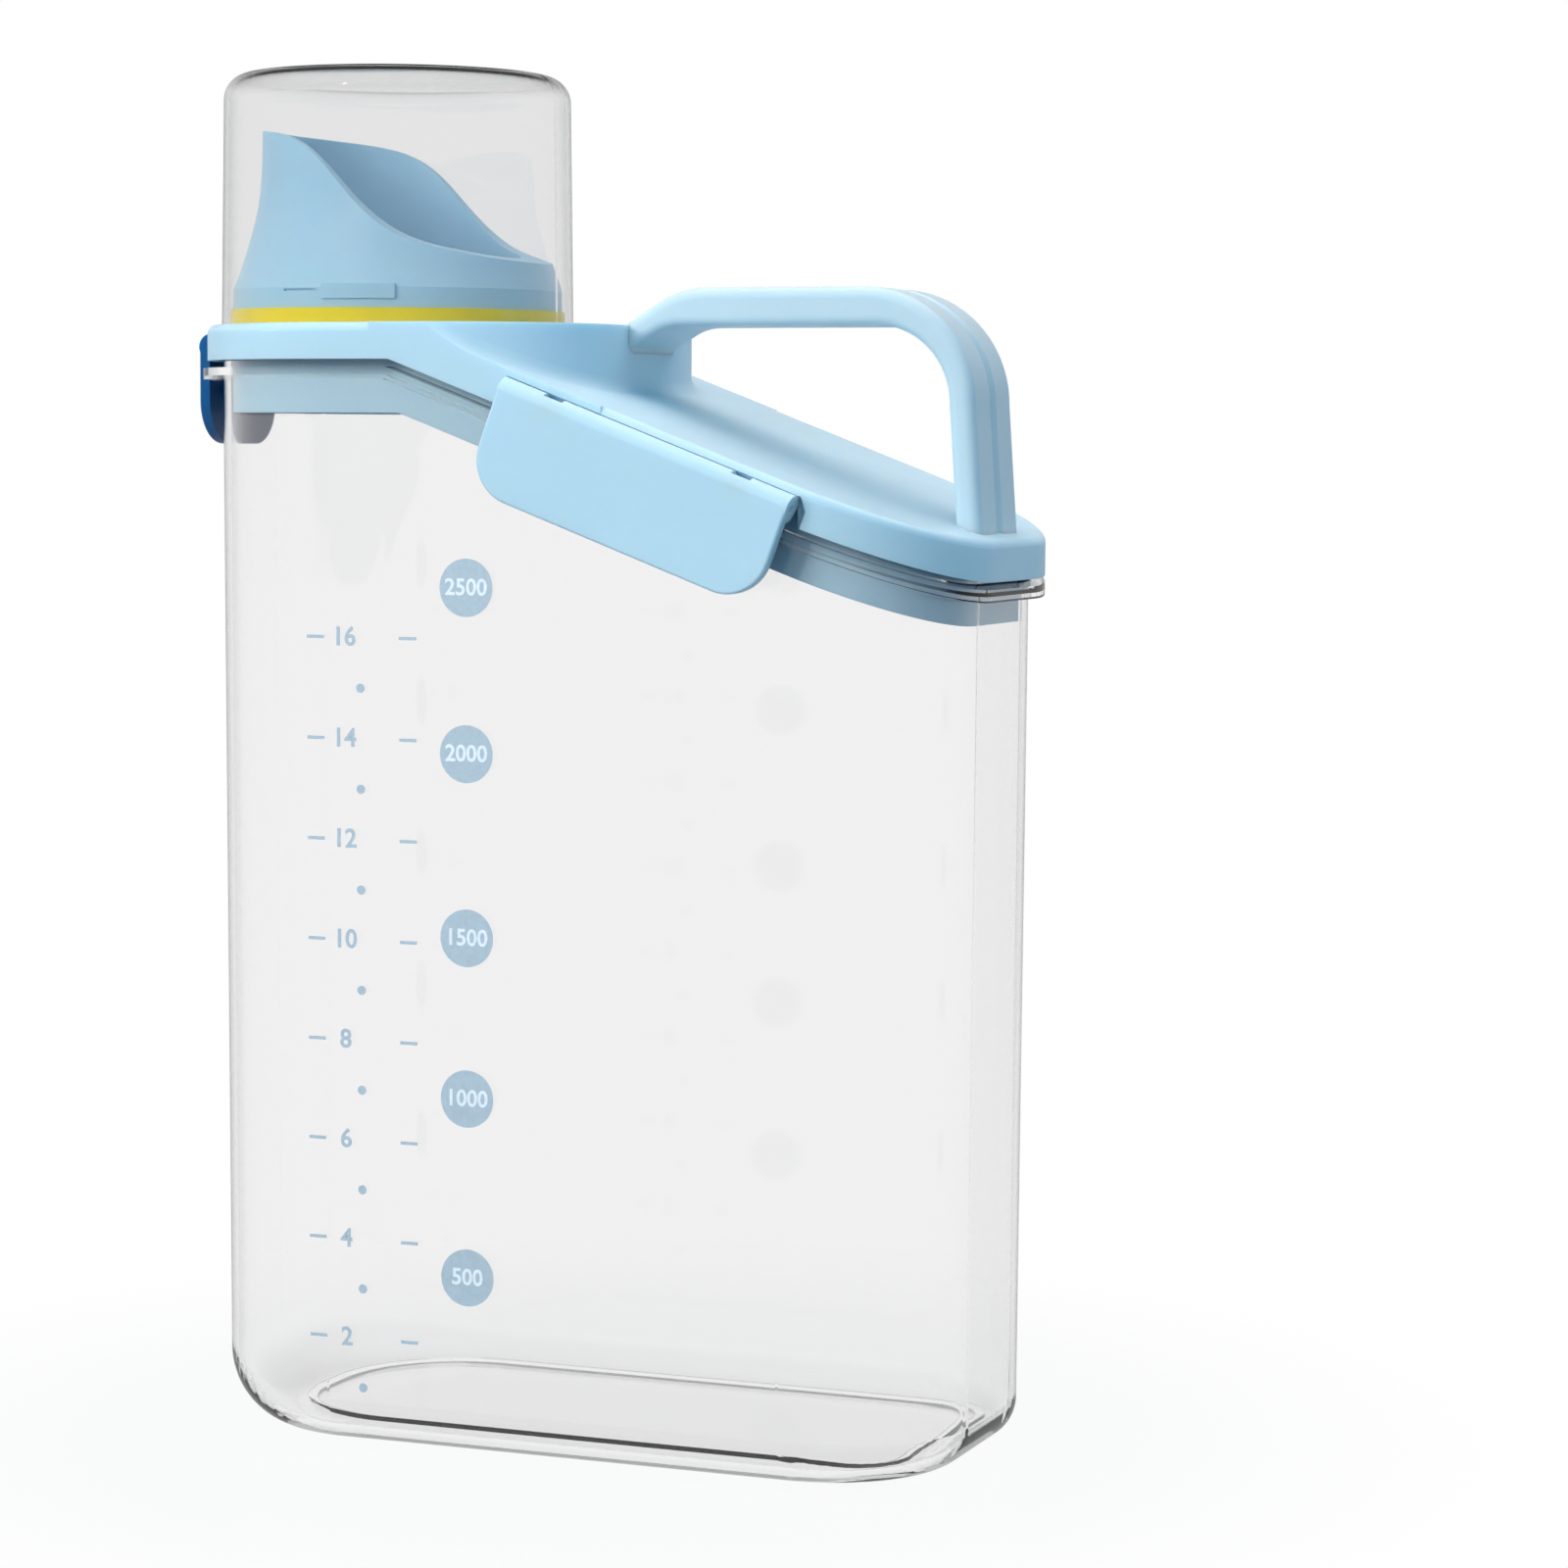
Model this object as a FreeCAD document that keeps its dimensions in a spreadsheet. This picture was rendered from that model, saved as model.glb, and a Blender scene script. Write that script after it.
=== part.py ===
import FreeCAD, Part
import math
import os
import re

import Sketcher
from FreeCAD import Placement, Rotation, Vector

# Dry food keeper: a clear tank with a latched sloping lid, a carrying handle,
# a pouring scoop on the lid and a measuring cup over the scoop.
# Lengths are in millimetres. X runs from the pouring end (minus) to the handle
# end (plus), Y across the tank, and Z up from the floor that it stands on.
# Inside every sub-part X is counted from the middle of the tank.

doc = FreeCAD.newDocument("dry_food_keeper")
sheet = doc.addObject("Spreadsheet::Sheet", "Sizes")

# Each entry is a name, its value and what it measures.
SIZES = [
    ("spare", 20.0, "how far cutting blocks reach past the object"),
    ("tank_length", 175.9, "outside length of the tank wall at the rim"),
    ("tank_width", 91.6, "outside width of the tank wall at the rim"),
    ("front_corner", 40.0, "plan radius of the two corners below the scoop"),
    ("rear_corner", 32.4, "plan radius of the two corners below the handle"),
    ("wall_draft", 0.275, "lean of the tank wall in degrees"),
    ("wall", 1.6, "tank wall"),
    ("floor_wall", 2.2, "tank floor"),
    ("heel_front", 17.0, "rounding of the base below the front"),
    ("heel_side", 9.0, "rounding of the base below the sides"),
    ("heel_rear", 8.0, "rounding of the base below the rear"),
    ("foot_front", 20.0, "from the tank's front to the recess under the floor"),
    ("foot_side", 14.5, "from the tank's side to the recess"),
    ("foot_rear", 13.1, "from the tank's rear to the recess"),
    ("foot_depth", 1.3, "height of the recess under the floor"),
    ("foot_nose", 4.3, "half of the straight front edge of the recess"),
    ("foot_rear_corner", 10.0, "plan radius of the recess at the rear"),
    ("skirt_level", 232.15, "height of the lower edge of the lid at the front"),
    ("bend_run", 57.0, "from the front of the tank to where the lid starts to slope"),
    ("slope", 20.4, "slope of the lid in degrees"),
    ("rim_rise", 3.65, "from the lower edge of the lid up to the tank's rim"),
    ("bead_drop", 1.6, "from the lower edge of the lid down to the tank's bead"),
    ("bead_thick", 1.7, "thickness of the bead round the tank"),
    ("bead_reach", 4.2, "how far the bead stands out from the tank wall"),
    ("bead_rear_reach", 2.9, "the same distance at the rear of the tank"),
    ("lip_width", 1.0, "thickness of the lip that hangs from the bead"),
    ("lip_drop", 0.8, "height of the lip that hangs from the bead"),
    ("skirt_reach", 3.3, "from the tank wall to the outside of the lid"),
    ("skirt_rise", 7.75, "height of the lid's outer wall"),
    ("lid_wall", 2.0, "thickness of the lid"),
    ("lid_round", 2.0, "rounding along the top edge of the lid"),
    ("collar_gap", 0.6, "from the tank's inner face to the lid's collar"),
    ("collar_wall", 1.8, "thickness of the collar"),
    ("collar_drop", 11.2, "from the lower edge of the lid down to the collar's edge"),
    ("pad_run", 39.0, "from the bend to the rear of the raised platform"),
    ("pad_corner", 34.0, "plan radius of the platform's rear corners"),
    ("pad_cove", 3.5, "hollow rounding at the platform's foot"),
    ("pad_lap", 6.0, "how far the platform reaches into the flat of the lid"),
    ("pad_hollow_start", 4.0, "from the bend forward to the hollow under the platform"),
    ("seal_thick", 1.8, "thickness of the lid seal"),
    ("seal_overhang", 0.2, "how far the lid seal stands out past the rim"),
    ("seal_inset", 0.1, "gap between the lid seal and the collar"),
    ("cup_gap", 1.5, "gap between the scoop's lower wall and the cup"),
    ("cup_overhang", 0.3, "how far the cup stands out past the front of the lid"),
    ("cup_taper", 0.7, "how much smaller in radius the closed end of the cup is"),
    ("cup_length", 54.6, "length of the cup"),
    ("cup_headroom", 10.4, "from the pouring lip up to the end of the cup"),
    ("cup_wall", 1.1, "wall of the cup"),
    ("cup_round", 5.7, "rounding of the closed end of the cup"),
    ("cup_seat_gap", 0.3, "gap below the mouth of the cup"),
    ("ring_overhang", 0.7, "how far the ring seal stands out past the scoop's lower wall"),
    ("ring_thick", 3.4, "thickness of the ring seal"),
    ("flange_overhang", 0.1, "how far the scoop's flange stands out past its lower wall"),
    ("flange_thick", 1.7, "thickness of the scoop's flange"),
    ("collar_radius", 36.0, "radius of the scoop's lower wall"),
    ("collar_rise", 13.6, "from the top of the lid up to the low side of the scoop's rim"),
    ("collar_straight", 7.8, "straight part of the scoop's lower wall, above the lid"),
    ("lip_inset", 6.5, "how much smaller in radius the pouring lip is than the lower wall"),
    ("scoop_wall", 2.0, "wall of the scoop"),
    ("neck_inset", 7.3, "how much smaller in radius the neck is than the lower wall"),
    ("neck_wall", 1.8, "wall of the neck"),
    ("tab_length", 15.6, "length of the snap tab on the side of the scoop"),
    ("tab_low", 5.3, "from the top of the lid up to the snap tab"),
    ("tab_height", 3.2, "height of the snap tab"),
    ("tab_proud", 0.5, "how far the snap tab stands out"),
    ("slit_start", 1.4, "from the snap tab to the slit beside it"),
    ("slit_length", 8.2, "length of the slit"),
    ("slit_height", 0.5, "height of the slit"),
    ("neck_drop", 4.4, "length of the neck below the top of the lid"),
    ("neck_gap", 0.3, "gap between the neck and the hole in the lid"),
    ("snap_bead", 0.8, "how far the neck's snap bead stands out"),
    ("hinge_rise", 3.3, "from the lower edge of the lid up to the hinge pins"),
    ("hinge_outset", 0.1, "from the tip of the tank's bead out to the hinge pins"),
    ("barrel_radius", 2.9, "radius of the rolled upper edge of a latch"),
    ("barrel_gap", 0.25, "gap round that edge"),
    ("latch_thick", 2.6, "thickness of a latch"),
    ("latch_drop", 21.3, "from the hinge pin down to the lower edge of a latch"),
    ("latch_corner", 9.5, "radius of the lower corners of a latch"),
    ("latch_edge", 0.6, "rounding along the outer edges of a latch"),
    ("side_latch_from_bend", 27.4, "from the lid's bend to the front end of a side latch"),
    ("side_latch_from_rear", 29.2, "from the rear end of a side latch to the tank's rear"),
    ("front_latch_length", 27.5, "length of the front latch"),
    ("notch_gap", 0.5, "gap between the lid and the ends of a latch"),
    ("notch_gap_rear", 2.5, "finger gap behind a side latch"),
    ("notch_clearance", 0.3, "gap between a latch and the lid's inner face"),
    ("notch_slant", 2.6, "height of the slanted top of the finger gap"),
    ("hook_reach", 0.8, "how far a hook stands in past the hinge pin"),
    ("hook_gap", 0.5, "gap between the tank's lip and a hook"),
    ("hook_root", 0.5, "how deep the root of a hook sits in its latch"),
    ("hook_edge", 0.8, "thickness of a hook at its tip"),
    ("side_hook_inset", 14.0, "from the end of a side latch to the end of its hook"),
    ("front_hook_inset", 6.75, "from the end of the front latch to the end of its hook"),
    ("pin_radius", 0.8, "radius of the hinge pins"),
    ("pin_gap", 0.05, "running gap round the hinge pins"),
    ("pin_inset", 0.5, "from the end of a latch to the end of its pin"),
    ("lug_radius", 1.9, "radius of the lid's lugs round a hinge pin"),
    ("lug_width", 3.6, "width of a lug"),
    ("lug_gap", 0.4, "gap beside a lug"),
    ("lug_arm", 2.0, "thickness of the arm of a lug"),
    ("lug_bite", 0.4, "how far a lug stops short of the lid's collar side"),
    ("lug_back", 0.1, "gap between a latch's rolled edge and the back of a lug"),
    ("slot_gap", 0.3, "gap round a lug in the latch"),
    ("slot_reach", 1.5, "how far the slot for a lug goes past the hinge line"),
    ("side_lug_inset", 12.0, "from the end of a side latch to the middle of a lug"),
    ("front_lug_inset", 7.25, "from the end of the front latch to the middle of a lug"),
    ("handle_width", 26.0, "width of the handle"),
    ("handle_rise", 7.9, "from the top of the lid up to the top of the handle"),
    ("handle_depth", 8.0, "thickness of the grip"),
    ("leg_inset", 2.4, "from the tank's rear to the outside of the rear leg"),
    ("leg_depth", 5.6, "thickness of the rear leg"),
    ("leg_lean", 4.0, "lean of the rear leg in degrees"),
    ("handle_bend", 24.5, "outside radius of the bend above the rear leg"),
    ("root_lap", 1.8, "from the platform's rear forward to where the handle leaves its top"),
    ("root_depth", 5.3, "thickness of the handle where it leaves the platform"),
    ("root_rise", 31.0, "slope of the handle where it leaves the platform, in degrees"),
    ("root_bend", 20.0, "radius of the bend where the handle levels out"),
    ("root_hollow", 12.0, "radius of the bend under the front of the grip"),
    ("root_fillet", 2.6, "radius under the handle where it meets the platform's wall"),
    ("root_meet", 15.0, "angle left between that radius and the wall, in degrees"),
    ("handle_round", 2.4, "rounding of the handle's outer edges"),
    ("handle_ease", 2.0, "rounding of the handle's inner edges"),
    ("groove_width", 4.0, "width of the groove along the handle"),
    ("groove_depth", 1.1, "depth of the groove along the handle"),
]

# Each of these follows from the sizes above.
DERIVED = [
    ("top_level", "skirt_level + skirt_rise", "height of the flat top of the lid"),
    ("shift_x", "(bead_reach + hinge_outset + barrel_radius - skirt_reach) / 2",
     "from the middle of the tank to the middle of the whole object"),
    ("foot_front_corner", "tank_width / 2 - foot_side - foot_nose",
     "plan radius of the recess at the front"),
    ("bend_x", "bend_run - tank_length / 2", "where the lid starts to slope"),
    ("pad_rear", "bend_x + pad_run", "where the raised platform ends"),
    ("handle_top", "top_level + handle_rise", "height of the top of the handle"),
    ("leg_outer_x", "tank_length / 2 - leg_inset", "outside of the rear leg below its bend"),
    ("cup_radius", "collar_radius + cup_gap + cup_wall", "outside radius of the cup's mouth"),
    ("cup_top_radius", "cup_radius - cup_taper", "outside radius of the cup's closed end"),
    ("cup_x", "cup_radius - cup_overhang - tank_length / 2 - skirt_reach", "axis of the cup"),
    ("ring_radius", "collar_radius + ring_overhang", "outside radius of the ring seal"),
    ("flange_radius", "collar_radius + flange_overhang", "radius of the scoop's flange"),
    ("lip_radius", "collar_radius - lip_inset", "outside radius at the pouring lip"),
    ("neck_radius", "collar_radius - neck_inset", "outside radius of the scoop's neck"),
    ("collar_top", "top_level + collar_rise", "height of the low side of the scoop's rim"),
    ("cup_end", "top_level + cup_seat_gap + cup_length", "height of the top of the cup"),
    ("lip_level", "cup_end - cup_wall - cup_headroom", "height of the pouring lip"),
    ("latch_end_x", "tank_length / 2 - side_latch_from_rear", "rear end of the side latches"),
    ("side_latch_end", "(latch_end_x - bend_x) / cos(slope)", "that end, along the slope"),
    ("side_latch_length", "side_latch_end - side_latch_from_bend", "length of a side latch"),
    ("side_lug_spread", "side_latch_length - 2 * side_lug_inset", "between its lugs"),
    ("side_hook_length", "side_latch_length - 2 * side_hook_inset", "length of its hook"),
    ("front_lug_spread", "front_latch_length - 2 * front_lug_inset", "between its lugs"),
    ("front_hook_length", "front_latch_length - 2 * front_hook_inset", "length of its hook"),
]


def fill_sheet():
    """Write each driving size into the sheet and give its cell a name."""
    for row, (name, size, note) in enumerate(SIZES + DERIVED, start=1):
        sheet.set(f"A{row}", name)
        sheet.set(f"B{row}", f"={size}")
        sheet.setAlias(f"B{row}", name)
        sheet.set(f"C{row}", note)
    doc.recompute()


NAMES = re.compile(r"\b(" + "|".join(name for name, size, note in SIZES + DERIVED) + r")\b")


def formula(text):
    """Turn a formula in the plain names of the sheet into one that objects can use."""
    return NAMES.sub(r"Sizes.\1", str(text))


def value(text):
    """Give the number that a formula has now."""
    result = sheet.evalExpression(formula(text))
    return float(getattr(result, "Value", result))


def bind(item, **formulas):
    """Tie properties of an object to formulas."""
    for prop, text in formulas.items():
        item.setExpression(prop, formula(text))
    return item


XY = Placement()
XZ = Placement(Vector(0, 0, 0), Rotation(Vector(1, 0, 0), 90))
YZ = Placement(Vector(0, 0, 0), Rotation(Vector(1, 1, 1), 120))


def pin_datum(sketch, kind, text, *where):
    """Add one dimension to a sketch and tie it to a formula."""
    row = sketch.addConstraint(Sketcher.Constraint(kind, *where, value(text)))
    sketch.setExpression(f"Constraints[{row}]", formula(text))


def polygon(name, plane, corners):
    """Draw a closed outline whose corners are pairs of formulas."""
    sketch = doc.addObject("Sketcher::SketchObject", name)
    sketch.Placement = plane
    points = [Vector(value(a), value(b), 0) for a, b in corners]
    last = len(points) - 1
    for index, point in enumerate(points):
        follower = points[0 if index == last else index + 1]
        sketch.addGeometry(Part.LineSegment(point, follower), False)
    for index in range(len(points)):
        follower = 0 if index == last else index + 1
        sketch.addConstraint(Sketcher.Constraint("Coincident", index, 2, follower, 1))
    for index, (a, b) in enumerate(corners):
        pin_datum(sketch, "DistanceX", a, -1, 1, index, 1)
        pin_datum(sketch, "DistanceY", b, -1, 1, index, 1)
    return sketch


def plan(name, front, rear, half_width, front_radius, rear_radius):
    """Draw a plan outline with one radius at its front corners and one at its rear."""
    low_x = value(front)
    high_x = value(rear)
    side = value(half_width)
    front_r = value(front_radius)
    rear_r = value(rear_radius)
    sketch = doc.addObject("Sketcher::SketchObject", name)
    up = Vector(0, 0, 1)

    def line(x1, y1, x2, y2):
        sketch.addGeometry(Part.LineSegment(Vector(x1, y1, 0), Vector(x2, y2, 0)), False)

    def arc(x, y, radius, start):
        circle = Part.Circle(Vector(x, y, 0), up, radius)
        ends = (math.radians(start), math.radians(start + 90))
        sketch.addGeometry(Part.ArcOfCircle(circle, *ends), False)

    line(low_x + front_r, -side, high_x - rear_r, -side)
    arc(high_x - rear_r, rear_r - side, rear_r, -90)
    line(high_x, rear_r - side, high_x, side - rear_r)
    arc(high_x - rear_r, side - rear_r, rear_r, 0)
    line(high_x - rear_r, side, low_x + front_r, side)
    arc(low_x + front_r, side - front_r, front_r, 90)
    line(low_x, side - front_r, low_x, front_r - side)
    arc(low_x + front_r, front_r - side, front_r, 180)
    for index in range(8):
        sketch.addConstraint(Sketcher.Constraint("Tangent", index, 2, (index + 1) % 8, 1))
    for index in (0, 4):
        sketch.addConstraint(Sketcher.Constraint("Horizontal", index))
    for index in (2, 6):
        sketch.addConstraint(Sketcher.Constraint("Vertical", index))
    pin_datum(sketch, "DistanceY", f"-({half_width})", -1, 1, 0, 1)
    pin_datum(sketch, "DistanceX", rear, -1, 1, 2, 1)
    pin_datum(sketch, "DistanceY", half_width, -1, 1, 4, 1)
    pin_datum(sketch, "DistanceX", front, -1, 1, 6, 1)
    pin_datum(sketch, "Radius", rear_radius, 1)
    sketch.addConstraint(Sketcher.Constraint("Equal", 1, 3))
    pin_datum(sketch, "Radius", front_radius, 5)
    sketch.addConstraint(Sketcher.Constraint("Equal", 5, 7))
    return sketch


def offset_plan(name, reach, rear_reach=None):
    """Draw the tank's plan at the rim, moved out by a reach, or by another one at its rear."""
    rear_reach = rear_reach or reach
    front = f"-(tank_length / 2 + {reach})"
    rear = f"(tank_length / 2 + {rear_reach})"
    width = f"(tank_width / 2 + {reach})"
    return plan(name, front, rear, width, f"front_corner + {reach}", f"rear_corner + {rear_reach}")


def extrude(name, sketch, length, direction=Vector(0, 0, 1), both_ways=False, taper=None):
    """Extrude a sketch into a solid."""
    solid = doc.addObject("Part::Extrusion", name)
    solid.Base = sketch
    solid.DirMode = "Custom"
    solid.Dir = direction
    solid.Solid = True
    solid.Symmetric = both_ways
    bind(solid, LengthFwd=length)
    if taper:
        bind(solid, TaperAngle=taper)
    return solid


def combine(kind, name, *parts):
    """Join two or more solids with a boolean of the given kind."""
    result = doc.addObject(f"Part::{kind}", name)
    if kind in ("MultiFuse", "MultiCommon"):
        result.Shapes = list(parts)
    else:
        result.Base, result.Tool = parts
    doc.recompute()
    return result


def round_edges(name, base, radius, chosen):
    """Round the edges that a test picks, each with the same radius."""
    doc.recompute()
    size = value(radius)
    rounded = doc.addObject("Part::Fillet", name)
    rounded.Base = base
    numbers = [number for number, edge in enumerate(base.Shape.Edges, start=1) if chosen(edge)]
    rounded.Edges = [(number, size, size) for number in numbers]
    doc.recompute()
    return rounded


def column(name, reach, rear_reach=None):
    """Make an upright column on the tank's plan, moved out by a reach."""
    return extrude(name, offset_plan(f"{name}_plan", reach, rear_reach), "top_level + spare")


def lid_line(rise, square=True):
    """Give the formulas of the lid's bent side line, moved up squarely or straight by a rise."""
    bend = f"(bend_x + ({rise}) * tan(slope / 2))" if square else "bend_x"
    level = f"(skirt_level + {rise})"
    far_x = "(tank_length / 2 + spare)"
    far_level = f"({level} - ({far_x} - {bend}) * tan(slope))"
    return bend, level, far_x, far_level


def below(name, rise, square=True):
    """Make everything under the lid's bent side line, moved up by a rise."""
    bend, level, far_x, far_level = lid_line(rise, square)
    corners = [
        (f"-{far_x}", "-spare"),
        (far_x, "-spare"),
        (far_x, far_level),
        (bend, level),
        (f"-{far_x}", level),
    ]
    return extrude(name, polygon(f"{name}_line", XZ, corners), "tank_width + 2 * spare",
                   Vector(0, 1, 0), both_ways=True)


def finish(item, label, placement=None):
    """Give a finished sub-part its name and its place in the frame."""
    item.Label = label
    if placement is None:
        bind(item, **{"Placement.Base.x": "shift_x"})
    else:
        item.Placement = placement
    SUB_PARTS.append(item)


SUB_PARTS = []


def near(first, second, slack=0.01):
    """Say whether two numbers are the same within a slack."""
    return abs(first - second) < slack


def tank_body(name, inset, base_level, heel_inset):
    """Make the tank's leaning body, closed at the base and rounded at its heel."""
    lean = f"(tan(wall_draft) * (skirt_level - {base_level}))"
    reach = f"(-({inset}) - {lean})"
    outline = offset_plan(f"{name}_plan", reach)
    bind(outline, **{"Placement.Base.z": base_level})
    body = extrude(f"{name}_block", outline, "top_level + spare", taper="wall_draft")
    doc.recompute()
    front = value("heel_front") - heel_inset
    side = value("heel_side") - heel_inset
    rear = value("heel_rear") - heel_inset
    level = value(base_level)
    low_x = body.Shape.BoundBox.XMin + value("front_corner")
    picks = []
    for number, edge in enumerate(body.Shape.Edges, start=1):
        box = edge.BoundBox
        if not (near(box.ZMin, level) and near(box.ZMax, level)):
            continue
        ends = [edge.valueAt(edge.FirstParameter), edge.valueAt(edge.LastParameter)]
        radii = []
        for end in ends:
            if near(abs(end.y), outline.Shape.BoundBox.YMax, 0.05):
                radii.append(side)
            elif end.x < low_x:
                radii.append(front)
            else:
                radii.append(rear)
        picks.append((number, radii[0], radii[1]))
    rounded = doc.addObject("Part::Fillet", f"{name}_heel")
    rounded.Base = body
    rounded.Edges = picks
    doc.recompute()
    return rounded


def foot_plan(name, reach):
    """Draw the plan of the recess under the floor, moved out by a reach."""
    front = f"-(tank_length / 2 - foot_front + {reach})"
    rear = f"(tank_length / 2 - foot_rear + {reach})"
    width = f"(tank_width / 2 - foot_side + {reach})"
    return plan(name, front, rear, width, f"foot_front_corner + {reach}",
                f"foot_rear_corner + {reach}")


def make_tank():
    """Clear moulded tank with its rim, the bead below the lid, and a recessed foot."""
    outside = tank_body("tank_outside", "0", "0", 0.0)
    inside = tank_body("tank_inside", "wall", "floor_wall", value("wall"))
    trimmed = combine("Common", "tank_trimmed", outside, below("tank_rim", "rim_rise"))
    bead_column = column("bead_column", "bead_reach", "bead_rear_reach")
    under_bead = below("under_bead", "-bead_drop - bead_thick")
    bead_top = combine("Common", "bead_top", bead_column, below("bead_level", "-bead_drop"))
    bead = combine("Cut", "bead", bead_top, under_bead)
    lip_core = column("lip_core", "bead_reach - lip_width", "bead_rear_reach - lip_width")
    lip_ring = combine("Cut", "lip_ring", bead_column, lip_core)
    lip_top = combine("Common", "lip_top", lip_ring, under_bead)
    lip = combine("Cut", "lip", lip_top, below("under_lip", "-bead_drop - bead_thick - lip_drop"))
    recess = extrude("recess", foot_plan("recess_plan", "0"), "foot_depth")
    plateau = extrude("plateau", foot_plan("plateau_plan", "floor_wall"),
                      "foot_depth + floor_wall")
    walls = combine("MultiFuse", "tank_walls", trimmed, bead, lip)
    hollow = combine("Cut", "tank_hollow", walls, inside)
    floor_up = combine("MultiFuse", "tank_floor", hollow, plateau)
    tank = combine("Cut", "tank", floor_up, recess)
    finish(tank, "tank")


def lid_top_edges(edge):
    """Pick the edges round the top of the lid's outer block."""
    if edge.Length < 1:
        return False
    middle = edge.valueAt((edge.FirstParameter + edge.LastParameter) / 2)
    bend, level, far_x, far_level = (value(text) for text in lid_line("skirt_rise"))
    slope = math.tan(math.radians(value("slope")))
    top = level if middle.x < bend else level - (middle.x - bend) * slope
    if not near(middle.z, top, 0.02):
        return False
    return abs(middle.y) > value("rear_corner / 4") or abs(middle.x) > value("tank_length / 2")


def make_platform():
    """Raised platform that carries the front of the handle, with a hollow rounding at its foot."""
    bend, level, far_x, far_level = lid_line("skirt_rise")
    front_level = f"({level} + ({bend} + {far_x}) * tan(slope))"
    ramp_line = polygon("ramp_line", XZ, [
        (f"-{far_x}", "0"), (far_x, "0"), (far_x, far_level), (f"-{far_x}", front_level)])
    ramp = extrude("ramp", ramp_line, "tank_width + 2 * spare", Vector(0, 1, 0), both_ways=True)
    tower_plan = plan("tower_plan", "bend_x - 2 * spare", "pad_rear",
                      "(tank_width / 2 + skirt_reach)", "spare / 2", "pad_corner")
    tower = extrude("tower", tower_plan, "top_level + 2 * spare")
    both = combine("MultiFuse", "ramp_and_tower", ramp, tower)

    def foot(edge):
        box = edge.BoundBox
        inside = box.YMax < value("tank_width") and box.YMin > -value("tank_width")
        middle = edge.valueAt((edge.FirstParameter + edge.LastParameter) / 2)
        crest = value(level) - (middle.x - value(bend)) * math.tan(math.radians(value("slope")))
        on_ramp = near(middle.z, crest, 0.02)
        within = value("bend_x - 2 * spare") < middle.x < value("pad_rear + pad_cove")
        return inside and on_ramp and within

    coved = round_edges("coved", both, "pad_cove", foot)
    trim = polygon("platform_trim_line", XZ, [
        (f"{bend} - pad_lap", f"{level} - 2 * spare"),
        ("pad_rear + pad_cove + pad_lap", f"{level} - 2 * spare"),
        ("pad_rear + pad_cove + pad_lap", level),
        (f"{bend} - pad_lap", level)])
    trim_box = extrude("platform_trim", trim, "tank_width + 2 * spare", Vector(0, 1, 0), both_ways=True)
    core = combine("MultiCommon", "platform_core", coved,
                   column("platform_column", "skirt_reach"), trim_box)
    return combine("Cut", "platform", core, below("platform_under", "skirt_rise - lid_wall"))


def make_lid():
    """Lid shell: outer wall, deck, raised platform and the collar that goes into the tank."""
    outer = combine("Common", "lid_outer", column("lid_block_column", "skirt_reach"),
                    below("lid_top", "skirt_rise"))
    block = combine("Cut", "lid_block", outer, below("lid_under", "0"))
    rounded = round_edges("lid_rounded", block, "lid_round", lid_top_edges)
    shell_core = combine("Common", "lid_core", column("lid_core_column", "skirt_reach - lid_wall"),
                         below("lid_core_top", "skirt_rise - lid_wall"))
    shell = combine("Cut", "lid_shell_only", rounded, shell_core)
    collar_reach = "-(wall + collar_gap)"
    collar_ring = combine("Cut", "collar_ring", column("collar_out", collar_reach),
                          column("collar_in", f"{collar_reach} - collar_wall"))
    collar_band = combine("Common", "collar_band", collar_ring,
                          below("collar_level", "skirt_rise - lid_wall / 2"))
    collar = combine("Cut", "collar", collar_band, below("collar_under", "-collar_drop", square=False))
    platform = make_platform()
    joined = combine("MultiFuse", "lid_joined", shell, collar, platform)
    hollow_width = "(tank_width / 2 - wall - collar_gap - collar_wall)"
    pad_hollow_plan = plan("pad_hollow_plan", "bend_x - pad_hollow_start", "pad_rear - lid_wall",
                           hollow_width, "pad_hollow_start",
                           f"pad_corner - (tank_width / 2 + skirt_reach - {hollow_width})")
    bind(pad_hollow_plan, **{"Placement.Base.z": "top_level - 2 * spare"})
    pad_hollow = extrude("pad_hollow", pad_hollow_plan, "2 * spare - lid_wall")
    hollowed = combine("Cut", "lid_hollowed", joined, pad_hollow)
    hole = doc.addObject("Part::Cylinder", "neck_hole")
    bind(hole, Radius="neck_radius + neck_gap", Height="lid_wall * 3")
    bind(hole, **{"Placement.Base.x": "cup_x", "Placement.Base.z": "top_level - lid_wall * 2"})
    holed = combine("Cut", "lid_holed", hollowed, hole)
    notches = [latch_notch(*place) for place in latch_places()]
    notched = combine("Cut", "lid_notched", holed, combine("MultiFuse", "notches", *notches))
    lugs = [lug for place in latch_places() for lug in latch_lugs(*place)]
    lid = combine("MultiFuse", "lid", notched, *lugs)
    finish(lid, "lid_shell")


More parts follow.
